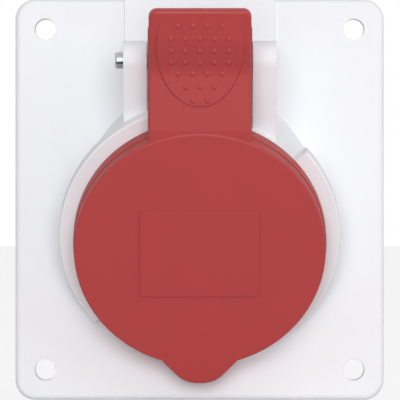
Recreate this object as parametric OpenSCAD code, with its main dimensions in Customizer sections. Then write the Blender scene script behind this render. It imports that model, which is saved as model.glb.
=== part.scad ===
// Sloped industrial panel socket, four pole, with a sprung hinged lid.
// Origin: centre of the four fixing holes, on the back face of the flange.
// +Z is up, -Y points out of the panel, +X is to the right. Millimetres.

/* [Flange] */
// Distance between the fixing holes across the flange
fixing_span_x = 77; // [72:0.5:90]
// Distance between the fixing holes up the flange
fixing_span_z = 85; // [80:0.5:100]
// Width of the flange outside the centres of the fixing holes
fixing_margin = 7.5; // [6:0.1:12]
// Diameter of the fixing holes
fixing_hole_d = 5.3; // [4.3:0.1:6]
// Thickness of the flange, from the panel to its front face
flange_t = 6; // [5:0.5:9]
// Radius of the flange's corners
flange_corner_r = 5; // [3:0.5:7]
// Radius of the rounded front rim of the flange
flange_rim_r = 1.4; // [0.8:0.1:2]
// Thickness of the panel gasket
panel_gasket_t = 1.5; // [1:0.1:2.5]
// Width of the flange's rim outside the panel gasket
panel_gasket_margin = 3.2; // [2:0.1:4]
// Clearance between the panel gasket and the barrel that passes through it
panel_opening_clear = 2.5; // [1.5:0.1:4]
// Width of the land round each fixing hole that the panel gasket leaves free
fixing_land = 2.6; // [1.5:0.1:4]

/* [Socket barrel] */
// Angle by which the socket points down, away from the panel's normal
tilt = 22; // [15:0.5:25]
// How far the socket's axis meets the flange below its centre
axis_drop = 4.1; // [0:0.1:6]
// Inner diameter of the barrel, which takes the plug's shroud
bore_d = 50; // [44:0.1:56]
// Thickness of the barrel's wall at the bayonet ring and behind it
barrel_wall = 3.3; // [2.6:0.1:4]
// Thickness of the barrel's wall at its front rim
rim_wall = 2.6; // [2:0.1:3]
// Width of the annular space for the plug's shroud, between the bore and the contact carrier
shroud_space = 4.5; // [4:0.1:5.5]
// How far the barrel's rim stands in front of the bayonet ring
rim_rise = 5; // [3.5:0.1:7]
// Depth of the annular space for the plug's shroud, from the rim
shroud_depth = 36.2; // [30:0.1:42]
// Thickness of the floor that closes the annular space
barrel_floor_t = 2.5; // [2:0.1:4]
// How far the turret that carries the bayonet ring stands out round the barrel
turret_reach = 2.2; // [1.6:0.1:3.5]
// Thickness of the bosses' walls behind the barrel
boss_wall = 2.4; // [1.8:0.1:3]
// Length of the bosses that take the carrier's screws
boss_len = 11; // [8:0.5:13]
// Width of the keyway at the foot of the barrel
keyway_w = 8.6; // [6:0.1:10]
// Depth of the keyway into the barrel's wall
keyway_depth = 1.5; // [1:0.1:1.7]

/* [Bayonet ring] */
// How far the bayonet ring stands out of the turret
ring_reach = 4.2; // [3:0.1:5.5]
// Thickness of the bayonet ring along the socket's axis
ring_t = 3.6; // [3:0.1:5]
// Height of the ring's lowest front edge above the flange
ring_proud = 0.2; // [0.1:0.1:1]
// Angle at which each gap of the ring begins
gap_from = 41; // [30:1:50]
// Angle through which each gap of the ring runs
gap_sweep = 43.4; // [30:0.2:50]

/* [Hinge] */
// Diameter of the hinge pin
pin_d = 4; // [3:0.1:5]
// How far the pin stands out of the left ear
pin_proud = 2; // [0.5:0.1:4]
// Distance from the bayonet ring's edge up to the pin's axis
pin_rise = 8.9; // [8:0.1:11]
// Radius of the ears and of the lid's knuckles round the pin
knuckle_r = 4.8; // [4:0.1:5.5]
// Thickness of each ear
ear_t = 5.8; // [4:0.1:7]
// Width between the ears
ear_gap = 25.9; // [25.5:0.1:28]
// Height of the pad above the ears, over the flange
pad_rise = 1; // [0.5:0.1:2]
// Radial play of the lid on its pin
pin_play = 0.06; // [0.04:0.01:0.09]
// How far the pin's right end lies inside its ear
pin_sink = 0.3; // [0:0.1:1]
// Clearance between the lid and each ear
ear_clear = 0.2; // [0.1:0.05:0.5]

/* [Lid] */
// Thickness of the lid's skirt
skirt_t = 2.45; // [2:0.05:3]
// How far the skirt steps in half way up to the face
skirt_step = 0.2; // [0.1:0.05:0.4]
// Thickness of the lid's face
lid_face_t = 2.4; // [1.8:0.1:3]
// Clearance between the lid's skirt and the barrel
skirt_clear = 0.4; // [0.3:0.05:0.6]
// Gap between the lid's skirt and the bayonet ring
skirt_gap = 0.3; // [0.2:0.05:0.6]
// Radius of the rounded edge of the lid's face
lid_edge_r = 0.6; // [0.4:0.1:1.4]
// Thickness of the lid's gasket where it meets the rim
lid_gasket_t = 1.3; // [0.8:0.1:2]
// Width of the raised field on the lid
field_w = 29.4; // [20:0.1:36]
// Height of the raised field on the lid
field_h = 22.7; // [14:0.1:30]
// How far the raised field stands proud
field_rise = 0.3; // [0.2:0.05:0.6]
// How far the raised field's centre lies below the lid's
field_drop = 0.7; // [0:0.1:2]
// Radius of the raised field's corners
field_corner_r = 0.9; // [0.5:0.1:3]
// How far the lip reaches below the lid
lip_reach = 4.5; // [3:0.1:6]
// Half the width of the lip where it leaves the lid
lip_root = 9.2; // [7:0.1:12]
// Thickness of the lip
lip_t = 3.2; // [2.4:0.1:4]
// Radius of the lip's two corners
lip_corner_r = 7; // [2:0.1:7.5]
// How far the lid's gasket reaches in over the barrel's bore
gasket_overlap = 0.4; // [0:0.05:1]
// Thickness of the rib that holds the lid's gasket in its seat
gasket_rib_t = 1.2; // [0.8:0.1:2]

/* [Strap and thumb tab] */
// Width of the strap's front face at its foot
strap_w = 25.1; // [22:0.1:25.2]
// How much narrower the strap is at its top
strap_taper = 0.4; // [0:0.1:1]
// Thickness of the strap's skin
strap_t = 2.6; // [2:0.1:3.5]
// Draft of the strap's sides, in degrees
strap_draft = 1.2; // [0:0.1:1.4]
// Distance from the pin's axis up to the middle of the strap's bend
bend_rise = 2.7; // [1:0.1:4]
// Distance from the pin's axis up to the foot of the tab
tab_rise = 9.4; // [8:0.1:11]
// Distance from the pin's axis to the top of the tab
tab_reach = 19.3; // [17:0.1:21]
// Radius of the tab's corners
tab_corner_r = 2.4; // [1:0.1:3]
// Angle by which the strap leans back from the lid's face
lean_angle = 10; // [6:0.5:12]
// Angle by which the strap flares forward at the bend
flare_angle = 18; // [10:0.5:20]
// Angle of the tab above the bend
tab_angle = 8; // [4:0.5:12]
// Thickness of each cheek behind the strap
cheek_t = 3.6; // [3:0.1:5]
// Half the width of the thumb pad
thumb_half_w = 10.8; // [8:0.1:11.4]
// Half the height of the thumb pad
thumb_half_h = 15.3; // [12:0.1:16]
// Distance from the pin's axis up to the middle of the thumb pad
thumb_lift = 9.1; // [8:0.1:10]
// How far the thumb pad stands proud
thumb_rise = 0.45; // [0.3:0.05:0.7]
// Distance between two dots across the thumb pad
dot_pitch_x = 3.5; // [3:0.05:4]
// Distance between two rows of dots up the thumb pad
dot_pitch_v = 3.3; // [3:0.05:3.6]
// Diameter of each dot
dot_d = 1.35; // [0.8:0.05:1.5]
// Distance from the foot of the thumb pad up to its first row of dots
dot_from = 1.6; // [1.5:0.05:2.5]

/* [Spring] */
// Diameter of the spring's wire
wire_d = 1.1; // [0.9:0.05:1.3]
// Play between the spring's coil and the pin
coil_play = 0.5; // [0.3:0.05:0.8]
// Number of turns of the spring
coil_turns = 9; // [6:1:10]
// Gap between the spring's turns
turn_gap = 0.165; // [0.1:0.005:0.3]
// How far above the pin the spring's left leg bears on the pad
rest_reach = 10.5; // [8:0.1:12]
// How far above the pin the spring's right leg bears on the tab
push_reach = 12.9; // [11:0.1:14]

/* [Contacts] */
// How far the carrier's face lies behind the rim
carrier_recess = 6.7; // [5.5:0.1:9]
// Distance from the contact carrier's edge in to each contact's axis
contact_inset = 7.75; // [7.6:0.05:8.2]
// Diameter of the plug's phase pins
phase_pin_d = 5; // [4.8:0.1:5.2]
// Diameter of the plug's earth pin
earth_pin_d = 7; // [6.8:0.1:7.2]
// Radial play of a plug's pin in its contact
contact_play = 0.1; // [0.06:0.01:0.15]
// Wall of a contact's sleeve
sleeve_wall = 1.3; // [1:0.05:1.5]
// Depth of a contact's sleeve behind the carrier's face
sleeve_setback = 4; // [3:0.1:6]
// Depth of the hole in a contact's sleeve
sleeve_depth = 20; // [16:0.5:22]
// Length of a contact's terminal behind the clamping plate
terminal_len = 11; // [9:0.1:14]
// Diameter of the hole for a wire in a terminal
wire_hole_d = 3.6; // [3:0.1:4]
// Depth of the hole for a wire
wire_depth = 10; // [8:0.1:13]
// Thickness of the carrier's rear flange
carrier_flange_t = 3; // [2.5:0.1:4]
// Thickness of the plate that clamps the contacts
clamp_plate_t = 5; // [4:0.1:7]
// Thickness of the walls between the terminals
barrier_t = 2; // [1.5:0.1:3]
// Diameter of the cord of the carrier's seal
seal_d = 1.6; // [1.2:0.1:1.8]
// Diameter of the carrier's screws
screw_d = 3.4; // [3:0.1:3.6]
// Depth to which the clamping plate's screw goes into the carrier
clamp_screw_depth = 9; // [7:0.5:12]
// Diameter of the terminals' screws
terminal_screw_d = 3; // [2.5:0.1:3]
// Step on the carrier that centres it in the barrel's floor
collar_step = 0.4; // [0.2:0.05:0.8]

/* [Hidden] */

$fn = 96;
eps = 0.01;

// Clearances: between parts that fit together, of a pin pressed in its ears, of a screw in its thread
fit = 0.1;
pressed = 0.02;
// How far cutting shapes run past what they cut
over = 1;

// Moulded edges: fine, plain and full roundings
edge_fine = 0.5;
edge_plain = 0.7;
edge_full = 1.1;

white = [0.93, 0.93, 0.94];
red = [0.68, 0.28, 0.28];
black = [0.12, 0.12, 0.13];
rubber = [0.2, 0.2, 0.21];
steel = [0.76, 0.79, 0.8];
brass = [0.78, 0.66, 0.36];

// Flange
flange_w = fixing_span_x + 2 * fixing_margin;
flange_h = fixing_span_z + 2 * fixing_margin;
// Least radius of the panel gasket's corners
gasket_corner_min = 0.8;

// Radii, from the bore outwards and inwards
bore_r = bore_d / 2;
barrel_r = bore_r + barrel_wall;
rim_r = bore_r + rim_wall;
turret_r = barrel_r + turret_reach;
ring_r = turret_r + ring_reach;
skirt_in_r = barrel_r + skirt_clear;
lid_r = skirt_in_r + skirt_t;
carrier_r = bore_r - shroud_space;
contact_r = carrier_r - contact_inset;
pin_r = pin_d / 2;
screw_r = screw_d / 2;

// Heights along the socket's axis, from the point where it leaves the flange's front face
ring_front = ring_r * tan(tilt) + ring_proud / cos(tilt);
ring_back = ring_front - ring_t;
rim = ring_front + rim_rise;
floor_front = rim - shroud_depth;
floor_back = floor_front - barrel_floor_t;
carrier_face = rim - carrier_recess;
carrier_back = floor_back - carrier_flange_t;
plate_back = carrier_back - clamp_plate_t;
terminal_end = plate_back - terminal_len;
lid_inside = rim + lid_gasket_t;
lid_face = lid_inside + lid_face_t;
skirt_end = ring_front + skirt_gap;

// Pin's place above the socket's axis and along it
pin_v = ring_r + pin_rise;
pin_u = ring_back - knuckle_r;
ear_out = ear_gap / 2 + ear_t;
pin_x0 = -ear_out - pin_proud;
pin_x1 = ear_out - pin_sink;
// The same, in front of the flange and above its centre
pin_f = pin_u * cos(tilt) + pin_v * sin(tilt);
pin_z = -axis_drop - pin_u * sin(tilt) + pin_v * cos(tilt);

// Strap's front line: heights v above the axis where its slope changes, and half the length of
// each bend
root_rise = 0.3;
root_v = lid_r + root_rise;
bend_v = pin_v + bend_rise;
tab_v = pin_v + tab_rise;
top_v = pin_v + tab_reach;
thumb_v = pin_v + thumb_lift;
root_half = 0.7;
bend_half = 1.6;
tab_half = 2;
// How far the strap lies below the lid's face, and its slope along the face
strap_sink = 0.15;
strap_fall = 0.04;
// Thumb pad: length over which it fades out below the tab's top, length of the slope at its
// foot, width of the slope at its sides, and depth of its root
thumb_fade = 6;
thumb_end = 1.9;
thumb_lead = 0.3;
thumb_side = 0.36;
thumb_root = 0.6;
// Each dot is a dome, the top of a larger ball
dot_h = dot_d / 4;
dot_ball_r = (dot_d * dot_d / 4 + dot_h * dot_h) / (2 * dot_h);
// Cheeks: where they end behind the tab, how far that end lies behind the strap, and their
// clearance from the bayonet ring's edge
cheek_top = 4.4;
cheek_step = 0.2;
cheek_nose = 1.5;

// Screws: the ratio of a head to its shank, the head's height and slot
head_ratio = 1.85;
head_t = 2;
head_edge = 0.3;
slot_w = 0.8;
slot_depth = 1.1;
// How far a screw's tip stops short of its hole's end
screw_spare = 1;
screw_head_r = screw_r * head_ratio;
boss_r = screw_r + boss_wall;
boss_x = barrel_r;
hub_wall = 1.4;
hub_r = screw_head_r + head_edge + hub_wall;

// Opening in the panel gasket that the barrel passes through
opening_r = barrel_r / cos(tilt) + panel_opening_clear;
opening_z = -axis_drop + flange_t * tan(tilt) + fit;

gasket_in_r = bore_r - gasket_overlap;
cheek_out = ear_gap / 2 - ear_clear;
seal_r = (carrier_r + bore_r) / 2;

// Hinge pin: its wall, its slit and where that faces
pin_wall = 0.8;
pin_slit = 0.7;
slit_angle = 178;

// Contacts: angles round the axis, and the forms of their sleeves
PHASE_ANGLES = [180, 90, 0];
EARTH_ANGLE = 270;
grip_t = 0.5;
grip_w = 1.4;
grip_from = 2;
shoulder_step = 1.1;
shoulder_t = 2;
terminal_step = 0.3;
mouth_chamfer = 0.6;
contact_slit = 0.8;
// Share of a sleeve's depth that its slit takes, and of a terminal's length to its screw
slit_share = 0.6;
terminal_screw_at = 0.45;
terminal_screw_r = terminal_screw_d / 2;
terminal_screw_proud = 0.6;
// How far the walls between the terminals reach behind them, and stay inside the plate's edge
barrier_over = 1.5;
barrier_inset = 0.5;

// An arc of points round a centre
function arc(c, r, a0, a1, n) =
    [for (i = [0:n]) c + r * [cos(a0 + (a1 - a0) * i / n), sin(a0 + (a1 - a0) * i / n)]];

// Integral of a slope that grows from 0 to 1 between p and q
function ramp(v, p, q) =
    v < p ? 0 : v > q ? v - (p + q) / 2 : (v - p) * (v - p) / (2 * (q - p));

// Height of the strap's front face along the socket's axis, at v above the axis
function strap_front(v) = lid_face - strap_sink - strap_fall * (root_v - v)
    - (tan(lean_angle) + strap_fall) * ramp(v, root_v - root_half, root_v + root_half)
    + (tan(flare_angle) + tan(lean_angle)) * ramp(v, bend_v - bend_half, bend_v + bend_half)
    - (tan(flare_angle) - tan(tab_angle)) * ramp(v, tab_v - tab_half, tab_v + tab_half);

// Moves what follows into the socket's own frame: Z out along the axis, Y up its face
module socket_frame()
    translate([0, -flange_t, -axis_drop]) rotate([90 + tilt, 0, 0]) children();

// Stands a drawing in X and Z up against the panel, and gives it a thickness towards -Y
module on_panel(from, thickness)
    translate([0, -from, 0]) rotate([90, 0, 0]) linear_extrude(thickness) children();

// Extrudes a drawing in (forward of the flange, up) along X
module side_on(x0, x1)
    translate([x1, -flange_t, 0]) rotate([0, 0, -90]) rotate([90, 0, 0])
        linear_extrude(x1 - x0) children();

module rounded_rect(w, h, r) {
    square([w - 2 * r, h], center = true);
    square([w, h - 2 * r], center = true);
    for (x = [-1, 1], y = [-1, 1])
        translate([x * (w / 2 - r), y * (h / 2 - r)]) circle(r);
}

// Repeats something at the four fixing holes, on the panel
module at_fixings()
    for (x = [-1, 1], z = [-1, 1])
        translate([x * fixing_span_x / 2, z * fixing_span_z / 2]) children();

// ---- flange_housing ----

// Section of the plate's rim, from 0 out to a reach, with a quarter-round front edge
module rim_section(reach)
    polygon(concat([[0, 0], [reach, 0]],
        arc([reach - flange_rim_r, flange_t - flange_rim_r], flange_rim_r, 0, 90, 6),
        [[0, flange_t]]));

// One straight stretch of the plate, from its middle out to a rim, standing in the plate's plane
module rim_stretch(reach, len)
    translate([0, len / 2, 0]) rotate([90, 0, 0]) linear_extrude(len) rim_section(reach);

// Plate with a rounded rim all round and a turned corner at each end of the stretches
module flange_plate() rotate([90, 0, 0]) {
    inner_w = flange_w - 2 * flange_corner_r;
    inner_h = flange_h - 2 * flange_corner_r;
    for (side = [0, 180]) rotate([0, 0, side]) {
        rim_stretch(flange_w / 2, inner_h);
        translate([0, inner_h / 2, 0]) rotate([0, 0, 90]) rim_stretch(flange_corner_r, inner_w);
    }
    for (x = [-1, 1], y = [-1, 1])
        translate([x * inner_w / 2, y * inner_h / 2, 0])
            rotate([0, 0, x * y > 0 ? (x > 0 ? 0 : 180) : (x > 0 ? 270 : 90)])
                rotate_extrude(angle = 90) rim_section(flange_corner_r);
}

// Barrel's wall round the plug, drafted at the front and rounded at the rim
module barrel_shell()
    rotate_extrude()
        polygon(concat(
            [[0, floor_back], [barrel_r, floor_back], [barrel_r, ring_front]],
            arc([rim_r - edge_plain, rim - edge_plain], edge_plain, 0, 90, 6),
            [[0, rim]]));

module bayonet_ring() difference() {
    translate([0, 0, ring_back])
        rotate_extrude()
            polygon(concat([[0, 0], [ring_r, 0]],
                arc([ring_r - edge_fine, ring_t - edge_fine], edge_fine, 0, 90, 4), [[0, ring_t]]));
    for (side = [0, 180])
        rotate([0, 0, gap_from + side]) translate([0, 0, ring_back - over])
            linear_extrude(ring_t + 2 * over)
                polygon(concat([[0, 0]], arc([0, 0], 2 * ring_r, 0, gap_sweep, 2)));
}

// One ear's outline, seen from the side: a nose round the pin, flat on top, its front running
// into the back of the bayonet ring, its foot inside the turret
module ear_outline() {
    foot_v = sqrt(turret_r * turret_r - ear_out * ear_out) - over;
    foot_u = ring_back + fit / 2;
    translate([pin_f, pin_z]) circle(knuckle_r);
    polygon([[-flange_t / 2, pin_z + knuckle_r],
        [pin_f, pin_z + knuckle_r],
        [pin_f, pin_z],
        [pin_f, pin_z] + knuckle_r * [cos(tilt), -sin(tilt)],
        [foot_u * cos(tilt) + foot_v * sin(tilt),
            -axis_drop - foot_u * sin(tilt) + foot_v * cos(tilt)],
        [-flange_t / 2, -axis_drop + foot_v * cos(tilt)]]);
}

// Bosses behind the panel for the carrier's screws
module barrel_bosses()
    for (side = [-1, 1])
        translate([side * boss_x, 0, floor_back]) cylinder(r = boss_r, h = boss_len);

// Outline of the recess for the panel gasket, less an edge all round
module gasket_outline(edge)
    difference() {
        rounded_rect(flange_w - 2 * (panel_gasket_margin + edge),
            flange_h - 2 * (panel_gasket_margin + edge),
            max(flange_corner_r - panel_gasket_margin, gasket_corner_min) - edge / 2);
        at_fixings() circle(fixing_hole_d / 2 + fixing_land + edge);
        translate([0, opening_z]) circle(opening_r + edge);
    }

module flange_housing() color(white) {
    difference() {
        union() {
            difference() {
                flange_plate();
                on_panel(-eps, panel_gasket_t + eps) gasket_outline(0);
            }
            // pad above the ears, out to the flange's top edge
            on_panel(flange_t / 2, flange_t / 2 + pad_rise)
                translate([-ear_out, pin_z - knuckle_r])
                    square([2 * ear_out, flange_h / 2 - pin_z + knuckle_r]);
            intersection() {
                socket_frame() union() {
                    translate([0, 0, -turret_r]) cylinder(r = turret_r, h = ring_front + turret_r);
                    bayonet_ring();
                }
                translate([-flange_w, -2 * flange_w, -flange_h])
                    cube([2 * flange_w, 2 * flange_w - flange_t / 2, 2 * flange_h]);
            }
            for (x = [-ear_out, ear_gap / 2])
                side_on(x, x + ear_t) ear_outline();
            socket_frame() {
                barrel_shell();
                barrel_bosses();
            }
        }
        socket_frame() {
            translate([0, 0, floor_front]) cylinder(r = bore_r, h = rim - floor_front + over);
            translate([0, 0, floor_back - over])
                cylinder(r = carrier_r + collar_step + fit, h = barrel_floor_t + 2 * over);
            // keyway at the foot of the bore
            translate([-keyway_w / 2, -bore_r - keyway_depth, floor_front])
                cube([keyway_w, bore_r, rim - floor_front + over]);
            for (side = [-1, 1])
                translate([side * boss_x, 0, floor_back - over])
                    cylinder(r = screw_r, h = boss_len);
            // bore for the hinge pin
            translate([pin_x0, pin_v, pin_u]) rotate([0, 90, 0])
                cylinder(r = pin_r + pressed, h = pin_x1 - pin_x0 + ear_t);
        }
        on_panel(-over, flange_t + 2 * over) at_fixings() circle(fixing_hole_d / 2);
    }
}

// ---- panel_gasket ----

module panel_gasket() color(rubber)
    on_panel(0, panel_gasket_t) gasket_outline(fit);

// ---- lid ----

// Disc with its stepped skirt, rounded at the face's edge
module lid_cap() {
    face_r = lid_r - skirt_step;
    step_u = (skirt_end + lid_face) / 2;
    rotate_extrude()
        polygon(concat(
            [[0, lid_inside], [skirt_in_r, lid_inside], [skirt_in_r, skirt_end],
                [lid_r, skirt_end], [lid_r, step_u], [face_r, step_u]],
            arc([face_r - lid_edge_r, lid_face - lid_edge_r], lid_edge_r, 0, 90, 6),
            [[0, lid_face]]));
}

// Rib inside the lid that holds the gasket in its seat
module gasket_rib()
    translate([0, 0, rim + fit])
        difference() {
            cylinder(r = gasket_in_r - fit, h = lid_gasket_t);
            translate([0, 0, -over])
                cylinder(r = gasket_in_r - fit - gasket_rib_t, h = lid_gasket_t + 2 * over);
        }

// Lip's outline below the lid, drawn in by an edge: its sides run from the lid's rim at half its
// root's width down to its two round corners
lip_slope = 47;
lip_root_v = -sqrt(lid_r * lid_r - lip_root * lip_root);
lip_tip = -lid_r - lip_reach;
lip_corner_x = lip_root - (lip_root_v - lip_tip) / tan(lip_slope)
    - lip_corner_r * tan(lip_slope / 2);

function lip_outline(edge) = concat(
    [[lip_root - edge, lip_root_v + 2 * skirt_t], [lip_root - edge, lip_root_v]],
    arc([lip_corner_x, lip_tip + lip_corner_r], lip_corner_r - edge, lip_slope - 90, -90, 8),
    arc([-lip_corner_x, lip_tip + lip_corner_r], lip_corner_r - edge, -90, -90 - lip_slope, 8),
    [[-lip_root + edge, lip_root_v], [-lip_root + edge, lip_root_v + 2 * skirt_t]]);

module lid_lip() hull() {
    translate([0, 0, lid_face - lip_t]) linear_extrude(eps) polygon(lip_outline(0));
    for (a = [0:30:90])
        translate([0, 0, lid_face - edge_plain + (edge_plain - eps) * sin(a) - eps])
            linear_extrude(eps) polygon(lip_outline(edge_plain * (1 - cos(a))));
}

module raised_field()
    translate([0, -field_drop, lid_face - edge_fine])
        linear_extrude(field_rise + edge_fine) rounded_rect(field_w, field_h, field_corner_r);

// Half the strap's width at v: it narrows up to the top, and is drawn in round the tab's corners
function strap_half(v) =
    let (w = (strap_w - strap_taper * max(v - root_v, 0) / (top_v - root_v)) / 2,
        d = v - (top_v - tab_corner_r))
    d <= 0 ? w : w - tab_corner_r + sqrt(max(tab_corner_r * tab_corner_r - d * d, 0));

// How far the tab's top edge is rounded away at v, for a rounding of radius r
function top_round(v, r) =
    let (d = v - (top_v - r)) d <= 0 ? 0 : r - sqrt(max(r * r - d * d, 0));

// One section across the strap at v: its back, its sides and its rounded front edges
function strap_section(v) =
    let (w = strap_half(v), front = strap_front(v) - top_round(v, edge_full),
        back = strap_front(v) - strap_t + top_round(v, edge_plain),
        side = w + (front - back) * tan(strap_draft), r = edge_plain)
    [for (p = concat([[side, back]], arc([w - r, front - r], r, 0, 90, 4),
        arc([-w + r, front - r], r, 90, 180, 4), [[-side, back]])) [p[0], v, p[1]]];

// Closes a stack of sections of n points into one solid
module loft(sections) {
    n = len(sections[0]);
    last = len(sections) - 1;
    polyhedron(
        points = [for (s = sections, p = s) p],
        faces = concat(
            [[for (k = [n - 1:-1:0]) k]],
            [for (i = [0:last - 1], k = [0:n - 1])
                [i * n + k, i * n + (k + 1) % n, (i + 1) * n + (k + 1) % n]],
            [for (i = [0:last - 1], k = [0:n - 1])
                [i * n + k, (i + 1) * n + (k + 1) % n, (i + 1) * n + k]],
            [[for (k = [0:n - 1]) last * n + k]]),
        convexity = 4);
}

// Heights v of the strap's sections: close together where it bends and at its rounded top
bend_stations = [for (i = [-3:3]) bend_v + bend_half * i / 3];
tab_stations = [for (i = [-3:3]) tab_v + tab_half * i / 3];
strap_stations = concat(
    [root_v - 2 * skirt_t, root_v - root_half, root_v, root_v + root_half],
    bend_stations, tab_stations,
    [for (a = [0:15:75]) top_v - tab_corner_r * (1 - sin(a))],
    [top_v - 2 * eps]);

module strap_skin() loft([for (v = strap_stations) strap_section(v)]);

// How far the thumb pad stands proud at v: it fades out towards the top of the tab
function thumb_height(v) =
    thumb_rise * min(1, (v - thumb_v + thumb_half_h) / thumb_lead)
        * max(min(1, (top_v - thumb_end - v) / thumb_fade), 0);

// Half the thumb pad's width at v
function thumb_half(v) =
    thumb_half_w * sqrt(max(1 - pow((v - thumb_v) / thumb_half_h, 2), eps * eps));

// One section across the thumb pad at v, closed inside the strap's skin
function thumb_section(v) =
    let (w = thumb_half(v), skin = strap_front(v), h = thumb_height(v),
        e = min(thumb_side, w / 3),
        side = [[w, skin - thumb_root], [w, skin], [w - e / 2, skin + 3 * h / 4], [w - e, skin + h]])
    concat([for (p = side) [p[0], v, p[1]]],
        [for (k = [3:-1:0]) [-side[k][0], v, side[k][1]]]);

thumb_stations = concat(
    [for (a = [2:8:58]) thumb_v - thumb_half_h * cos(a)],
    bend_stations, tab_stations,
    [for (i = [1:4]) tab_v + tab_half + (top_v - thumb_end - tab_v - tab_half) * i / 4]);

module thumb_pad() loft([for (v = thumb_stations) thumb_section(v)]);

// Rows of dots: how many in each row, from the foot of the pad up
DOT_ROWS = [2, 3, 4, 5, 5, 5, 4];

module thumb_dots()
    for (row = [0:len(DOT_ROWS) - 1]) {
        v = thumb_v - thumb_half_h + dot_from + row * dot_pitch_v;
        for (k = [0:DOT_ROWS[row] - 1])
            translate([(k - (DOT_ROWS[row] - 1) / 2) * dot_pitch_x, v,
                strap_front(v) + thumb_height(v) + dot_h - dot_ball_r])
                sphere(dot_ball_r, $fn = 24);
    }

// Side view of a cheek, in (up the face, along the axis): from the skirt up behind the strap,
// and back round the pin
module cheek_outline() {
    skin = strap_t / 2;
    foot_v = bore_r;
    nose_v = ring_r + cheek_nose;
    end_v = tab_v + cheek_top;
    back_v = pin_v + knuckle_r;
    hollow_r = end_v + over - back_v;
    translate([pin_v, pin_u]) circle(knuckle_r);
    polygon(concat(
        [for (v = [foot_v, root_v, bend_v, tab_v, end_v]) [v, strap_front(v) - skin]],
        [[end_v, strap_front(end_v) - strap_t - cheek_step]],
        arc([back_v + hollow_r, pin_u + pin_r], hollow_r, 120, 180, 6),
        [[back_v, pin_u], [pin_v, pin_u], [pin_v - knuckle_r, pin_u],
            [nose_v, skirt_end], [foot_v, skirt_end]]));
}

// The two cheeks behind the strap, with its draft on their outer faces
module cheeks()
    intersection() {
        for (side = [-1, 1])
            multmatrix([[0, 0, 1, side * (cheek_out - cheek_t / 2) - cheek_t / 2],
                [1, 0, 0, 0], [0, 1, 0, 0], [0, 0, 0, 1]])
                linear_extrude(cheek_t) cheek_outline();
        // a wedge with the strap's draft on both sides, until it reaches the ears' clearance
        translate([0, 2 * pin_v, 0]) rotate([90, 0, 0]) linear_extrude(2 * pin_v)
            polygon([for (p = [[-1, lid_face + ring_r], [1, lid_face + ring_r],
                    [1, draft_end], [1, -ring_r], [-1, -ring_r], [-1, draft_end]])
                [p[0] * draft_half(p[1]), p[1]]]);
    }

draft_end = lid_face - (cheek_out - strap_w / 2) / tan(strap_draft);
function draft_half(u) = min(strap_w / 2 + (lid_face - u) * tan(strap_draft), cheek_out);

module lid() color(red) socket_frame() difference() {
    union() {
        lid_cap();
        gasket_rib();
        raised_field();
        difference() {
            union() {
                lid_lip();
                strap_skin();
                cheeks();
            }
            // room for the barrel and the gasket under the cap
            translate([0, 0, pin_u]) cylinder(r = skirt_in_r, h = lid_inside - pin_u + edge_fine);
        }
        thumb_pad();
        thumb_dots();
    }
    translate([-ear_gap, pin_v, pin_u]) rotate([0, 90, 0])
        cylinder(r = pin_r + pin_play, h = 2 * ear_gap);
}

// ---- lid_gasket ----

module lid_gasket() color(rubber) socket_frame()
    rotate_extrude()
        polygon([[gasket_in_r, rim], [skirt_in_r - fit, rim],
            [skirt_in_r - fit, lid_inside], [gasket_in_r, lid_inside]]);

// ---- hinge_pin ----

// Rolled spring pin, slit along its length, chamfered at both ends
module hinge_pin() color(steel) socket_frame()
    translate([pin_x0, pin_v, pin_u]) rotate([0, 90, 0]) {
        len = pin_x1 - pin_x0;
        chamfer = edge_fine;
        in_r = pin_r - pin_wall;
        difference() {
            rotate_extrude()
                polygon([[in_r, 0], [pin_r - chamfer / 2, 0], [pin_r, chamfer],
                    [pin_r, len - chamfer], [pin_r - chamfer / 2, len], [in_r, len]]);
            rotate([0, 0, slit_angle]) translate([0, -pin_slit / 2, -over])
                cube([pin_r + over, pin_slit, len + 2 * over]);
        }
    }

// ---- lid_spring ----

// Torsion spring in (x, forward, up) round the pin: its left leg bears on the pad above the
// ears, its right leg on the back of the thumb tab
coil_r = pin_r + coil_play + wire_d / 2;
coil_pitch = wire_d + turn_gap;
coil_x0 = -coil_turns * coil_pitch / 2;

// Where each leg ends: in front of the flange and above its centre
rest_leg = [pad_rise + wire_d / 2 + fit / 2, pin_z + rest_reach];
push_v = pin_v + push_reach;
push_u = strap_front(push_v) - strap_t - wire_d / 2 - fit;
push_leg = [push_u * cos(tilt) + push_v * sin(tilt),
    -axis_drop - push_u * sin(tilt) + push_v * cos(tilt)];

// Angle at which a leg from the coil to a point leaves the coil, turning one way or the other
function leg_angle(p, way) =
    let (d = p - [pin_f, pin_z]) atan2(d[1], d[0]) + way * acos(coil_r / norm(d));

a_rest = leg_angle(rest_leg, -1);
a_push = leg_angle(push_leg, 1);
// the coil's whole sweep, from one leg to the other
sweep = 360 * coil_turns + a_push - a_rest - 360 * round((a_push - a_rest) / 360);

function coil_point(t) =
    let (a = a_rest + sweep * t)
    [coil_x0 + coil_turns * coil_pitch * t,
        -flange_t - pin_f - coil_r * cos(a), pin_z + coil_r * sin(a)];

spring_path = concat(
    [[coil_x0, -flange_t - rest_leg[0], rest_leg[1]]],
    [for (t = [0:1 / (coil_turns * 16):1 + eps / 100]) coil_point(min(t, 1))],
    [[-coil_x0, -flange_t - push_leg[0], push_leg[1]]]);

WIRE_SIDES = 8;

// A section of the wire at point i of a path, square to the path
function wire_section(path, i) =
    let (last = len(path) - 1,
        a = path[max(i - 1, 0)], b = path[min(i + 1, last)],
        t = (b - a) / norm(b - a),
        s0 = cross(t, [1, 0, 0]), s = s0 / norm(s0), w = cross(s, t))
    [for (k = [0:WIRE_SIDES - 1]) let (a = 360 * k / WIRE_SIDES)
        path[i] + wire_d / 2 * (cos(a) * s + sin(a) * w)];

module lid_spring() color(steel)
    loft([for (i = [0:len(spring_path) - 1]) wire_section(spring_path, i)]);

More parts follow.
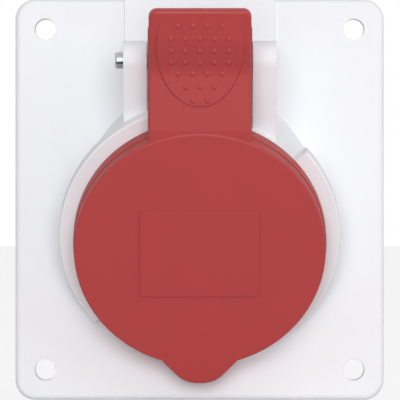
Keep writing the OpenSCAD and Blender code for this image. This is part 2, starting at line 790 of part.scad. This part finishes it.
// ---- contact_carrier and what it holds ----

// Repeats something at one contact's place round the axis, its X pointing outwards
module at_contact(angle) rotate([0, 0, angle]) translate([contact_r, 0, 0]) children();

function socket_r(pin) = pin / 2 + contact_play;
function sleeve_r(pin) = socket_r(pin) + sleeve_wall;
function terminal_r(pin) = sleeve_r(pin) + terminal_step;
sleeve_front = carrier_face - sleeve_setback;
terminal_screw_u = terminal_end + terminal_len * terminal_screw_at;

// Room in the carrier for one contact: its mouth, its sleeve and its shoulder
module contact_pocket(pin) {
    translate([0, 0, carrier_back - over])
        cylinder(r = socket_r(pin), h = carrier_face - carrier_back + 2 * over);
    translate([0, 0, carrier_face - mouth_chamfer])
        cylinder(r1 = socket_r(pin), r2 = socket_r(pin) + mouth_chamfer + eps, h = mouth_chamfer + eps);
    translate([0, 0, carrier_back - over])
        cylinder(r = sleeve_r(pin) + grip_t + fit, h = sleeve_front - carrier_back + over);
    translate([0, 0, carrier_back - over])
        cylinder(r = sleeve_r(pin) + shoulder_step + fit, h = over + shoulder_t);
}

module carrier_body() {
    translate([0, 0, floor_back]) cylinder(r = carrier_r, h = carrier_face - floor_back);
    // collar that centres the carrier in the barrel's floor
    translate([0, 0, floor_back]) cylinder(r = carrier_r + collar_step, h = barrel_floor_t);
    translate([0, 0, carrier_back]) {
        cylinder(r = bore_r, h = carrier_flange_t);
        for (side = [-1, 1]) translate([side * boss_x, 0, 0]) cylinder(r = boss_r, h = carrier_flange_t);
    }
}

module contact_carrier() color(black) socket_frame() difference() {
    carrier_body();
    for (a = PHASE_ANGLES) at_contact(a) contact_pocket(phase_pin_d);
    at_contact(EARTH_ANGLE) contact_pocket(earth_pin_d);
    // groove for the seal
    translate([0, 0, floor_back - seal_d]) difference() {
        cylinder(r = seal_r + seal_d / 2 + fit, h = seal_d + over);
        translate([0, 0, -over]) cylinder(r = seal_r - seal_d / 2 - fit, h = seal_d + 3 * over);
    }
    for (side = [-1, 1])
        translate([side * boss_x, 0, carrier_back - over])
            cylinder(r = screw_r + fit, h = carrier_flange_t + 2 * over);
    // threaded hole for the clamping plate's screw
    translate([0, 0, carrier_back - over]) cylinder(r = screw_r + pressed, h = clamp_screw_depth + over);
}

module carrier_seal() color(rubber) socket_frame()
    translate([0, 0, floor_back - seal_d / 2])
        rotate_extrude() translate([seal_r, 0]) circle(seal_d / 2 - pressed, $fn = 24);

// Hole in the plate round one terminal
module terminal_hole(pin)
    translate([0, 0, plate_back - over])
        cylinder(r = terminal_r(pin) + fit, h = clamp_plate_t + 2 * over);

barrier_end = terminal_end - barrier_over;
barrier_h = plate_back - barrier_end + edge_fine;

// Plate behind the carrier that holds the contacts by their shoulders, with a wall between
// each terminal and the next
module clamp_plate() color(black) socket_frame() difference() {
    union() {
        translate([0, 0, plate_back]) cylinder(r = carrier_r, h = clamp_plate_t);
        translate([0, 0, barrier_end]) {
            for (a = [45, 135])
                rotate([0, 0, a])
                    translate([-carrier_r + barrier_inset, -barrier_t / 2, 0])
                        cube([2 * (carrier_r - barrier_inset), barrier_t, barrier_h]);
            cylinder(r = hub_r, h = barrier_h);
        }
    }
    for (a = PHASE_ANGLES) at_contact(a) terminal_hole(phase_pin_d);
    at_contact(EARTH_ANGLE) terminal_hole(earth_pin_d);
    // well for the screw's head in the hub, and its shank's hole
    translate([0, 0, barrier_end - over])
        cylinder(r = screw_head_r + head_edge, h = plate_back - barrier_end + over);
    translate([0, 0, plate_back - over]) cylinder(r = screw_r + fit, h = clamp_plate_t + 2 * over);
}

// Screw with a slotted cheese head, its shank along +Z from the head's underside
module slotted_screw(r, len) difference() {
    head_r = r * head_ratio;
    rotate_extrude()
        polygon([[0, -head_t], [head_r - head_edge, -head_t], [head_r, head_edge - head_t],
            [head_r, 0], [r, 0], [r, len - edge_fine], [r - edge_fine, len], [0, len]]);
    translate([-head_r - over, -slot_w / 2, -head_t - over])
        cube([2 * (head_r + over), slot_w, over + slot_depth]);
}

module carrier_screws() color(steel) socket_frame()
    for (side = [-1, 1])
        translate([side * boss_x, 0, carrier_back])
            slotted_screw(screw_r - pressed, carrier_flange_t + boss_len - over - screw_spare);

module clamp_screw() color(steel) socket_frame()
    translate([0, 0, plate_back]) slotted_screw(screw_r, clamp_plate_t + clamp_screw_depth - screw_spare);

// Turned contact: slit sleeve at the front, shoulder, and a terminal with a wire hole
module contact(angle, pin) color(brass) socket_frame() at_contact(angle) difference() {
    grip_front = sleeve_front - grip_from;
    grip_back = grip_front - grip_w - 2 * fit;
    rotate_extrude()
        polygon([[0, terminal_end], [terminal_r(pin) - edge_fine, terminal_end],
            [terminal_r(pin), terminal_end + edge_fine], [terminal_r(pin), carrier_back],
            [sleeve_r(pin) + shoulder_step, carrier_back],
            [sleeve_r(pin) + shoulder_step, carrier_back + shoulder_t],
            [sleeve_r(pin), carrier_back + shoulder_t],
            [sleeve_r(pin), grip_back], [sleeve_r(pin) - grip_t, grip_back],
            [sleeve_r(pin) - grip_t, grip_front], [sleeve_r(pin), grip_front],
            [sleeve_r(pin), sleeve_front], [0, sleeve_front]]);
    translate([0, 0, sleeve_front - sleeve_depth]) cylinder(r = socket_r(pin), h = sleeve_depth + over);
    translate([0, -contact_slit / 2, sleeve_front - slit_share * sleeve_depth])
        cube([2 * pin, contact_slit, sleeve_depth]);
    translate([0, 0, terminal_end - over]) cylinder(r = wire_hole_d / 2, h = wire_depth + over);
    // hole for the terminal's screw, from outside into the wire hole
    translate([0, 0, terminal_screw_u]) rotate([0, 90, 0])
        cylinder(r = terminal_screw_r, h = 2 * pin);
}

module grip_ring(angle, pin) color(steel) socket_frame() at_contact(angle)
    translate([0, 0, sleeve_front - grip_from - fit - grip_w])
        rotate_extrude(angle = 330)
            translate([sleeve_r(pin) - grip_t + pressed, 0]) square([2 * grip_t - fit, grip_w]);

// The screw stands backed off, its tip at the wire hole's wall
module terminal_screw(angle, pin) color(steel) socket_frame() at_contact(angle)
    translate([terminal_r(pin) + terminal_screw_proud, 0, terminal_screw_u]) rotate([0, -90, 0])
        slotted_screw(terminal_screw_r - pressed,
            terminal_r(pin) + terminal_screw_proud - wire_hole_d / 2 - fit);

flange_housing();
panel_gasket();
lid();
lid_gasket();
hinge_pin();
lid_spring();
contact_carrier();
carrier_seal();
clamp_plate();
carrier_screws();
clamp_screw();
contact(PHASE_ANGLES[0], phase_pin_d);  // contact_l1
contact(PHASE_ANGLES[1], phase_pin_d);  // contact_l2
contact(PHASE_ANGLES[2], phase_pin_d);  // contact_l3
contact(EARTH_ANGLE, earth_pin_d);  // contact_earth
grip_ring(PHASE_ANGLES[0], phase_pin_d);  // grip_ring_l1
grip_ring(PHASE_ANGLES[1], phase_pin_d);  // grip_ring_l2
grip_ring(PHASE_ANGLES[2], phase_pin_d);  // grip_ring_l3
grip_ring(EARTH_ANGLE, earth_pin_d);  // grip_ring_earth
terminal_screw(PHASE_ANGLES[0], phase_pin_d);  // terminal_screw_l1
terminal_screw(PHASE_ANGLES[1], phase_pin_d);  // terminal_screw_l2
terminal_screw(PHASE_ANGLES[2], phase_pin_d);  // terminal_screw_l3
terminal_screw(EARTH_ANGLE, earth_pin_d);  // terminal_screw_earth
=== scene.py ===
"""Looks of a sloped industrial panel socket with a sprung lid.

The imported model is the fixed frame, in metres: +Z is up, -Y points out of the panel and +X is to
the right. Each sub-assembly is a class whose fields are its sizes. Its build method, where it has
one, models the piece that stands for a node of the frame, and its dress method gives its nodes
and pieces their finish.
"""

import logging
import math
from dataclasses import dataclass
from enum import Enum

import bmesh
import bpy
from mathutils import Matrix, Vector


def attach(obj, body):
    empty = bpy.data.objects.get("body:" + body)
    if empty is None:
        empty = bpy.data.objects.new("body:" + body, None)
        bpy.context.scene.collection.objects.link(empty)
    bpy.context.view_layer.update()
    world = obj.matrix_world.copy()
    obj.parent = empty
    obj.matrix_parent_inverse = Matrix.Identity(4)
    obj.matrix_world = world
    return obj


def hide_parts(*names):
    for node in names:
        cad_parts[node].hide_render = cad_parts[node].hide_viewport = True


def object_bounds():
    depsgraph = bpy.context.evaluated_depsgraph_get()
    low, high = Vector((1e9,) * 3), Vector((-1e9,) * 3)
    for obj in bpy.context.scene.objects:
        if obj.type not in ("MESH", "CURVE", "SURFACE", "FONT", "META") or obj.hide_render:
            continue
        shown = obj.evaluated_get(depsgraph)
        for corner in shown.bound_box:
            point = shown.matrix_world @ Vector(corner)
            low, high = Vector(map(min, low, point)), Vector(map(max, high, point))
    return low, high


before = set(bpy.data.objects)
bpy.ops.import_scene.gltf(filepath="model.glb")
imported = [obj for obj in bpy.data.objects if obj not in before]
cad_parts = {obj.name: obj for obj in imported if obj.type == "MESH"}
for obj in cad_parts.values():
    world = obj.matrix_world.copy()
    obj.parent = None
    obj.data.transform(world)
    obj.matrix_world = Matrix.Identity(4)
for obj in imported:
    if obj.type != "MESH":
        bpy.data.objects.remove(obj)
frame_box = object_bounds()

log = logging.getLogger("panel_socket")

MM = 0.001
WHITE_LIGHT = (1, 1, 1, 1)
NOISE_MEAN = 0.5
EDGE_SAMPLES = 6


# ---- shader maths ----


class Signal:
    """One shader socket, joined to others by Python's own operators.

    Args:
        bench: The node tree that the socket belongs to.
        socket: The output socket.
    """

    def __init__(self, bench: "Bench", socket: bpy.types.NodeSocket) -> None:
        """Keeps the socket with its tree."""
        self.bench = bench
        self.socket = socket

    def _join(self, operation: str, first: "Signal | float", second: "Signal | float") -> "Signal":
        """Adds one Math node.

        Args:
            operation: The Math node's operation.
            first: Its first value.
            second: Its second value.

        Returns:
            The result.
        """
        made = self.bench.node("ShaderNodeMath", {"operation": operation}, {0: first, 1: second})
        return Signal(self.bench, made.outputs[0])

    def __add__(self, other: "Signal | float") -> "Signal":
        """Sum."""
        return self._join("ADD", self, other)

    def __radd__(self, other: float) -> "Signal":
        """Sum with a number on the left."""
        return self._join("ADD", other, self)

    def __sub__(self, other: "Signal | float") -> "Signal":
        """Difference."""
        return self._join("SUBTRACT", self, other)

    def __rsub__(self, other: float) -> "Signal":
        """Difference from a number on the left."""
        return self._join("SUBTRACT", other, self)

    def __mul__(self, other: "Signal | float") -> "Signal":
        """Product."""
        return self._join("MULTIPLY", self, other)

    def __rmul__(self, other: float) -> "Signal":
        """Product with a number on the left."""
        return self._join("MULTIPLY", other, self)

    def swing(self, width: float) -> "Signal":
        """A noise turned about its mean, so that it adds as much as it takes away."""
        return (self - NOISE_MEAN) * width

    def limited(self) -> "Signal":
        """The same value, held between 0 and 1."""
        made = self.bench.node("ShaderNodeClamp", {}, {"Value": self})
        return Signal(self.bench, made.outputs[0])


class Bench:
    """The node tree of one finish.

    Args:
        tree: The empty tree to work in.
    """

    def __init__(self, tree: bpy.types.NodeTree) -> None:
        """Clears the tree."""
        self.tree = tree
        tree.nodes.clear()

    def node(
        self, kind: str, settings: dict | None = None, values: dict | None = None
    ) -> bpy.types.Node:
        """Adds any node.

        Args:
            kind: The node's type.
            settings: Its properties, such as a Math node's operation, set first.
            values: Its sockets by name or number, each a number, a colour, a socket or a Signal.

        Returns:
            The node.
        """
        made = self.tree.nodes.new(kind)
        for key, value in (settings or {}).items():
            setattr(made, key, value)
        for key, value in (values or {}).items():
            if isinstance(value, Signal):
                value = value.socket
            if isinstance(value, bpy.types.NodeSocket):
                self.tree.links.new(value, made.inputs[key])
            else:
                made.inputs[key].default_value = value
        return made

    def place(self, stretch: tuple[float, float, float] = (1.0, 1.0, 1.0)) -> bpy.types.NodeSocket:
        """The surface's own coordinates in metres.

        Args:
            stretch: How much each axis is drawn together.

        Returns:
            A vector socket.
        """
        where = self.node("ShaderNodeTexCoord").outputs["Object"]
        if stretch == (1.0, 1.0, 1.0):
            return where
        return self.node("ShaderNodeMapping", {}, {"Vector": where, "Scale": stretch}).outputs[0]

    def noise(
        self,
        size: float,
        detail: float = 2.0,
        stretch: tuple[float, float, float] = (1.0, 1.0, 1.0),
        fineness: float = 0.55,
    ) -> Signal:
        """Even noise.

        Args:
            size: Distance between its lumps, in metres.
            detail: How many finer octaves it has.
            stretch: How much each axis is drawn together.
            fineness: How strong each finer octave is beside the one before.

        Returns:
            Its value, about 0.3 to 0.7.
        """
        made = self.node(
            "ShaderNodeTexNoise",
            {"noise_dimensions": "3D"},
            {
                "Vector": self.place(stretch),
                "Scale": 1 / size,
                "Detail": detail,
                "Roughness": fineness,
            },
        )
        return Signal(self, made.outputs["Fac"])

    def between(self, low: tuple, high: tuple, share: Signal) -> bpy.types.NodeSocket:
        """A colour between two others.

        Args:
            low: The colour at 0.
            high: The colour at 1.
            share: The share of the second.

        Returns:
            A colour socket.
        """
        made = self.node(
            "ShaderNodeMix",
            {"data_type": "RGBA"},
            {"Factor": share.limited(), "A": (*low, 1), "B": (*high, 1)},
        )
        return made.outputs["Result"]

    def bumped(self, height: Signal, depth: float, edge: float = 0.0) -> bpy.types.NodeSocket:
        """A normal from a height, over edges that look rounded.

        Args:
            height: The height, from 0 to 1.
            depth: The real depth in metres.
            edge: The radius of the rounded edges in metres, or 0 to keep them sharp.

        Returns:
            A normal socket.
        """
        values = {"Height": height, "Strength": 1.0, "Distance": depth}
        if edge:
            rounding = self.node("ShaderNodeBevel", {"samples": EDGE_SAMPLES}, {"Radius": edge})
            values["Normal"] = rounding.outputs[0]
        return self.node("ShaderNodeBump", {}, values).outputs["Normal"]


def colour_times(colour: tuple, factor: float) -> tuple:
    """A colour with each part multiplied."""
    return tuple(part * factor for part in colour)


# ---- finishes ----


@dataclass(frozen=True)
class MouldedPlastic:
    """Injection-moulded plastic with a fine eroded grain.

    Args:
        name: The material's name.
        colour: Its mean colour.
        rough: Its roughness.
        grain: Distance between the grain's lumps, in metres.
        grain_depth: Depth of the grain, in metres.
        mottle: How far the colour wanders, as a share.
        gloss: Specular level.
        edge: Radius of the moulding's edges, in metres.
        flow: Distance between the streaks of the melt's flow, in metres.
        flow_run: How much each axis of those streaks is drawn together.
        cloud: Distance between the large clouds of colour, in metres.
        tints: How far the grain, the flow and the clouds move the colour.
        dulling: How far the flow and the grain move the roughness.
        flow_height: Height of the flow beside the grain's.
    """

    name: str
    colour: tuple
    rough: float = 0.5
    grain: float = 0.42 * MM
    grain_depth: float = 0.012 * MM
    mottle: float = 0.035
    gloss: float = 0.35
    edge: float = 0.25 * MM
    flow: float = 9 * MM
    flow_run: tuple = (1.0, 1.0, 0.45)
    cloud: float = 26 * MM
    tints: tuple = (0.9, 1.1, 0.8)
    dulling: tuple = (0.16, 0.1)
    flow_height: float = 0.5

    def material(self) -> bpy.types.Material:
        """Builds the node tree.

        Returns:
            The material.
        """
        made = bpy.data.materials.new(self.name)
        made.use_nodes = True
        bench = Bench(made.node_tree)
        grain = bench.noise(self.grain, 1.5)
        flow = bench.noise(self.flow, 2.0, self.flow_run)
        cloud = bench.noise(self.cloud, 2.0)
        of_grain, of_flow, of_cloud = self.tints
        share = grain.swing(of_grain) + flow.swing(of_flow) + cloud.swing(of_cloud) + NOISE_MEAN
        flow_dulls, grain_dulls = self.dulling
        skin = bench.node(
            "ShaderNodeBsdfPrincipled",
            {},
            {
                "Base Color": bench.between(
                    colour_times(self.colour, 1 - self.mottle),
                    colour_times(self.colour, 1 + self.mottle),
                    share,
                ),
                "Roughness": flow.swing(flow_dulls) + grain.swing(grain_dulls) + self.rough,
                "Specular IOR Level": self.gloss,
                "Normal": bench.bumped(
                    grain + flow * self.flow_height, self.grain_depth, self.edge
                ),
            },
        )
        bench.node("ShaderNodeOutputMaterial", {}, {"Surface": skin.outputs[0]})
        return made


@dataclass(frozen=True)
class MouldedRubber:
    """Soft black rubber with a bloom on it.

    Args:
        name: The material's name.
        colour: Its colour where it is clean.
        bloom: Its colour where it has bloomed.
        grain: Distance between the grain's lumps, in metres.
        grain_depth: Depth of the grain, in metres.
        bloom_size: Distance between the patches of bloom, in metres.
        bloom_from: The noise's value where bloom starts.
        bloom_edge: How hard the edge of a patch is.
        rough: Its roughness.
        bloom_dulls: How far the bloom moves the roughness.
        gloss: Specular level.
    """

    name: str
    colour: tuple = (0.018, 0.018, 0.02)
    bloom: tuple = (0.05, 0.05, 0.052)
    grain: float = 0.3 * MM
    grain_depth: float = 0.02 * MM
    bloom_size: float = 7 * MM
    bloom_from: float = 0.42
    bloom_edge: float = 3.0
    rough: float = 0.68
    bloom_dulls: float = 0.4
    gloss: float = 0.35

    def material(self) -> bpy.types.Material:
        """Builds the node tree.

        Returns:
            The material.
        """
        made = bpy.data.materials.new(self.name)
        made.use_nodes = True
        bench = Bench(made.node_tree)
        grain = bench.noise(self.grain, 2.0)
        bloom = bench.noise(self.bloom_size, 3.0)
        skin = bench.node(
            "ShaderNodeBsdfPrincipled",
            {},
            {
                "Base Color": bench.between(
                    self.colour, self.bloom, (bloom - self.bloom_from) * self.bloom_edge
                ),
                "Roughness": bloom.swing(self.bloom_dulls) + self.rough,
                "Specular IOR Level": self.gloss,
                "Normal": bench.bumped(grain + bloom, self.grain_depth),
            },
        )
        bench.node("ShaderNodeOutputMaterial", {}, {"Surface": skin.outputs[0]})
        return made


@dataclass(frozen=True)
class WorkedMetal:
    """Metal with the marks of its making, plated or bare.

    Args:
        name: The material's name.
        colour: Its colour where it is bright.
        dull: Its colour where it has dulled.
        rough: Its roughness.
        marks: How much each axis of the marks is drawn together.
        mark_size: Distance between the marks, in metres.
        mark_depth: Depth of the marks, in metres.
        stain_size: Distance between the stains, in metres.
        metallic: How far it is metal under its film.
        brightness: The share of bright metal.
        tints: How far the stains and the marks move the colour.
        dulling: How far the marks and the stains move the roughness.
    """

    name: str
    colour: tuple
    dull: tuple
    rough: float
    marks: tuple = (0.08, 1.0, 1.0)
    mark_size: float = 0.12 * MM
    mark_depth: float = 0.006 * MM
    stain_size: float = 2.4 * MM
    metallic: float = 0.9
    brightness: float = 0.6
    tints: tuple = (1.8, 0.7)
    dulling: tuple = (0.25, 0.3)

    def material(self) -> bpy.types.Material:
        """Builds the node tree.

        Returns:
            The material.
        """
        made = bpy.data.materials.new(self.name)
        made.use_nodes = True
        bench = Bench(made.node_tree)
        marks = bench.noise(self.mark_size, 2.0, self.marks)
        stain = bench.noise(self.stain_size, 3.0)
        of_stain, of_marks = self.tints
        marks_dull, stain_dulls = self.dulling
        skin = bench.node(
            "ShaderNodeBsdfPrincipled",
            {},
            {
                "Base Color": bench.between(
                    self.dull,
                    self.colour,
                    stain.swing(of_stain) + marks.swing(of_marks) + self.brightness,
                ),
                "Metallic": self.metallic,
                "Roughness": marks.swing(marks_dull) + stain.swing(stain_dulls) + self.rough,
                "Normal": bench.bumped(marks, self.mark_depth),
            },
        )
        bench.node("ShaderNodeOutputMaterial", {}, {"Surface": skin.outputs[0]})
        return made


class Finish(Enum):
    """The finishes of this socket, by the record's slot."""

    WHITE = MouldedPlastic("white_moulding", (0.83, 0.835, 0.865), rough=0.55, mottle=0.02)
    RED = MouldedPlastic(
        "red_moulding", (0.414, 0.0435, 0.0435), rough=0.5, mottle=0.03, grain_depth=0.008 * MM
    )
    INSULATOR = MouldedPlastic(
        "black_moulding", (0.022, 0.022, 0.025), rough=0.42, mottle=0.2, gloss=0.5
    )
    RUBBER = MouldedRubber("black_rubber")
    STEEL = WorkedMetal("zinc_plate", (0.5, 0.54, 0.555), (0.34, 0.39, 0.41), 0.38)
    BRASS = WorkedMetal("turned_brass", (0.72, 0.52, 0.2), (0.5, 0.33, 0.12), 0.3)


class Paintbox:
    """Makes each finish once and puts it on nodes and pieces."""

    def __init__(self) -> None:
        """Starts empty."""
        self.made: dict[Finish, bpy.types.Material] = {}

    def put(self, finish: Finish, *things: bpy.types.Object) -> None:
        """Gives things one finish all over.

        Args:
            finish: The finish.
            things: CAD nodes or new pieces.
        """
        if finish not in self.made:
            self.made[finish] = finish.value.material()
        for thing in things:
            if not thing.data.materials:
                thing.data.materials.append(None)
            for slot in thing.material_slots:
                slot.material = self.made[finish]
            log.info("%s: %s", thing.name, finish.value.name)


def named(*names: str) -> list[bpy.types.Object]:
    """The CAD nodes of these names."""
    return [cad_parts[name] for name in names]


POLES = ("l1", "l2", "l3", "earth")


# ---- sub-assemblies ----


@dataclass
class Housing:
    """The white flange with its barrel, ring and ears, and the rubber behind it."""

    def dress(self, paint: Paintbox) -> None:
        """Puts the finishes on.

        Args:
            paint: The finishes.
        """
        paint.put(Finish.WHITE, *named("flange_housing"))
        paint.put(Finish.RUBBER, *named("panel_gasket"))


@dataclass
class Lid:
    """The red lid, its gasket, and the pin and spring it turns on.

    Args:
        smooth_below: Angle below which two faces of the moulding run into each other.
        foot_angle: The same angle where a dot or a fillet stands on a larger face.
        small_face: Area below which a face belongs to a dot or a fillet, in square metres.
        merge_within: Distance within which the mesh's loose corners are joined, in metres.
        evening: Weight of the larger faces in the shading.
    """

    smooth_below: float = math.radians(20)
    foot_angle: float = math.radians(9)
    small_face: float = 0.25 * MM * MM
    merge_within: float = 0.001 * MM
    evening: int = 50

    def build(self) -> None:
        """Models the moulding with its curves run smooth."""
        shape = bmesh.new()
        shape.from_mesh(named("lid")[0].data)
        bmesh.ops.remove_doubles(shape, verts=shape.verts, dist=self.merge_within)
        self.keep_edges(shape)
        self.moulding = object_from(shape, "lid_moulding")
        self.moulding.data.polygons.foreach_set(
            "use_smooth", [True] * len(self.moulding.data.polygons)
        )
        evened = self.moulding.modifiers.new("evened_shading", "WEIGHTED_NORMAL")
        evened.mode, evened.weight, evened.keep_sharp = "FACE_AREA", self.evening, True
        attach(self.moulding, "lid")
        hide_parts("lid")
        log.info("%s: built", self.moulding.name)

    def keep_edges(self, shape: bmesh.types.BMesh) -> None:
        """Marks the moulding's real edges as sharp, and the dots' feet among them.

        Args:
            shape: The merged copy of the moulding.
        """
        small = {face for face in shape.faces if face.calc_area() < self.small_face}
        for edge in shape.edges:
            at_foot = sum(face in small for face in edge.link_faces) == 1
            sharp_from = self.foot_angle if at_foot else self.smooth_below
            edge.smooth = edge.calc_face_angle(0.0) <= sharp_from

    def dress(self, paint: Paintbox) -> None:
        """Puts the finishes on.

        Args:
            paint: The finishes.
        """
        paint.put(Finish.RED, self.moulding)
        paint.put(Finish.RUBBER, *named("lid_gasket"))
        paint.put(Finish.STEEL, *named("hinge_pin", "lid_spring"))


@dataclass
class ContactSet:
    """The carrier, its seal and screws, and the contacts that it holds."""

    def dress(self, paint: Paintbox) -> None:
        """Puts the finishes on.

        Args:
            paint: The finishes.
        """
        paint.put(Finish.INSULATOR, *named("contact_carrier", "clamp_plate"))
        paint.put(Finish.RUBBER, *named("carrier_seal"))
        paint.put(Finish.BRASS, *named(*(f"contact_{pole}" for pole in POLES)))
        paint.put(
            Finish.STEEL,
            *named("carrier_screws", "clamp_screw"),
            *named(*(f"grip_ring_{pole}" for pole in POLES)),
            *named(*(f"terminal_screw_{pole}" for pole in POLES)),
        )


# ---- studio ----


@dataclass(frozen=True)
class Lamp:
    """One soft square lamp.

    Args:
        name: Its name.
        place: Where it stands, in metres.
        side: Its width and height, in metres.
        power: Its power in watts.
    """

    name: str
    place: tuple
    side: float
    power: float

    def hang(self, target: Vector) -> None:
        """Makes the lamp and turns it to the object.

        Args:
            target: The point that it faces.
        """
        data = bpy.data.lights.new(self.name, "AREA")
        data.shape = "SQUARE"
        data.size = self.side
        data.energy = self.power
        lamp = bpy.data.objects.new(self.name, data)
        bpy.context.scene.collection.objects.link(lamp)
        lamp.location = self.place
        lamp.rotation_euler = (target - Vector(self.place)).to_track_quat("-Z", "Y").to_euler()
        lamp.visible_camera = False


@dataclass
class Studio:
    """The pale room: world, floor, lamps and camera.

    Args:
        distance: From the flange's front face to the camera, in metres.
        aside: How far the camera stands to the right of the middle, in metres.
        width_seen: Width of the view at that face, in metres.
        aim: Where the view's centre meets that face, across and up, in metres.
        room_light: Level of the even light from all round.
        floor_side: Side of the floor, in metres.
        floor_gap: How far the floor lies under the object, in metres.
        floor_colour: Colour of the floor.
        floor_white: How far the camera sees the floor as pure white.
        flange_front: The flange's front face, along Y in metres.
        sensor: Width of the camera's sensor, in millimetres.
        sight: Nearest and farthest point that the camera sees, in metres.
        lamps: The lamps.
    """

    distance: float = 1.2
    aside: float = -3.0 * MM
    width_seen: float = 99.875 * MM
    aim: tuple = (0.1 * MM, -0.1 * MM)
    room_light: float = 0.4
    floor_side: float = 8.0
    floor_gap: float = 0.2 * MM
    floor_colour: tuple = (0.82, 0.82, 0.82, 1)
    floor_white: float = 0.85
    flange_front: float = -6.0 * MM
    sensor: float = 36.0
    sight: tuple = (0.05, 50.0)
    lamps: tuple = (
        Lamp("front_lamp", (0.0, -1.7, 0.25), 1.0, 20.6),
        Lamp("upper_lamp", (0.9, -0.5, 1.2), 1.0, 2.5),
        Lamp("right_lamp", (1.5, -0.9, 0.3), 1.0, 2.9),
    )

    def white_rays(self, bench: Bench) -> Signal:
        """1 for the rays that see the room as pure white.

        Args:
            bench: The node tree.

        Returns:
            The sum of the camera's, glossy and transmission rays, held to 1.
        """
        path = bench.node("ShaderNodeLightPath")
        camera, glossy, clear = (
            Signal(bench, path.outputs[f"Is {kind} Ray"])
            for kind in ("Camera", "Glossy", "Transmission")
        )
        return (camera + glossy + clear).limited()

    def build_world(self) -> None:
        """Even light from all round, and pure white where the camera or a gloss sees it."""
        world = bpy.data.worlds.new("pale_room")
        world.use_nodes = True
        bpy.context.scene.world = world
        bench = Bench(world.node_tree)
        lit = bench.node(
            "ShaderNodeBackground", {}, {"Color": WHITE_LIGHT, "Strength": self.room_light}
        )
        seen = bench.node("ShaderNodeBackground", {}, {"Color": WHITE_LIGHT, "Strength": 1.0})
        both = bench.node(
            "ShaderNodeMixShader",
            {},
            {0: self.white_rays(bench), 1: lit.outputs[0], 2: seen.outputs[0]},
        )
        bench.node("ShaderNodeOutputWorld", {}, {"Surface": both.outputs[0]})

    def build_floor(self, level: float) -> None:
        """A plain pale floor that keeps a faint shadow.

        Args:
            level: Its height, in metres.
        """
        shape = bmesh.new()
        bmesh.ops.create_grid(shape, x_segments=1, y_segments=1, size=self.floor_side / 2)
        bmesh.ops.translate(shape, verts=shape.verts, vec=(0, 0, level))
        floor = object_from(shape, "studio_floor")
        made = bpy.data.materials.new("pale_floor")
        made.use_nodes = True
        bench = Bench(made.node_tree)
        matte = bench.node(
            "ShaderNodeBsdfDiffuse", {}, {"Color": self.floor_colour, "Roughness": 0.0}
        )
        white = bench.node("ShaderNodeEmission", {}, {"Color": WHITE_LIGHT, "Strength": 1.0})
        both = bench.node(
            "ShaderNodeMixShader",
            {},
            {
                0: self.white_rays(bench) * self.floor_white,
                1: matte.outputs[0],
                2: white.outputs[0],
            },
        )
        bench.node("ShaderNodeOutputMaterial", {}, {"Surface": both.outputs[0]})
        floor.data.materials.append(made)

    def build_camera(self) -> None:
        """A long lens, nearly straight on."""
        data = bpy.data.cameras.new("straight_on")
        data.sensor_width = self.sensor
        data.lens = data.sensor_width * self.distance / self.width_seen
        data.clip_start, data.clip_end = self.sight
        camera = bpy.data.objects.new("straight_on", data)
        bpy.context.scene.collection.objects.link(camera)
        across, up = self.aim
        camera.location = (across + self.aside, self.flange_front - self.distance, up)
        camera.rotation_euler = (math.pi / 2, 0, math.atan2(-self.aside, -self.distance) + math.pi)
        bpy.context.scene.camera = camera

    def build(self) -> None:
        """Makes the whole room round the object."""
        low, high = frame_box
        self.build_world()
        self.build_floor(low.z - self.floor_gap)
        for lamp in self.lamps:
            lamp.hang((low + high) / 2)
        self.build_camera()
        bpy.context.scene.view_settings.view_transform = "Standard"


def object_from(shape: bmesh.types.BMesh, name: str) -> bpy.types.Object:
    """Turns a finished bmesh into an object at the origin.

    Args:
        shape: The bmesh, which is freed.
        name: The object's name.

    Returns:
        The linked object.
    """
    mesh = bpy.data.meshes.new(name)
    shape.to_mesh(mesh)
    shape.free()
    made = bpy.data.objects.new(name, mesh)
    bpy.context.scene.collection.objects.link(made)
    return made


def main() -> None:
    """Builds and dresses the socket, then the room round it."""
    logging.basicConfig(level=logging.INFO, format="%(name)s %(message)s")
    paint = Paintbox()
    lid = Lid()
    lid.build()
    for assembly in (Housing(), lid, ContactSet()):
        assembly.dress(paint)
    Studio().build()


if __name__ == "__main__":
    main()
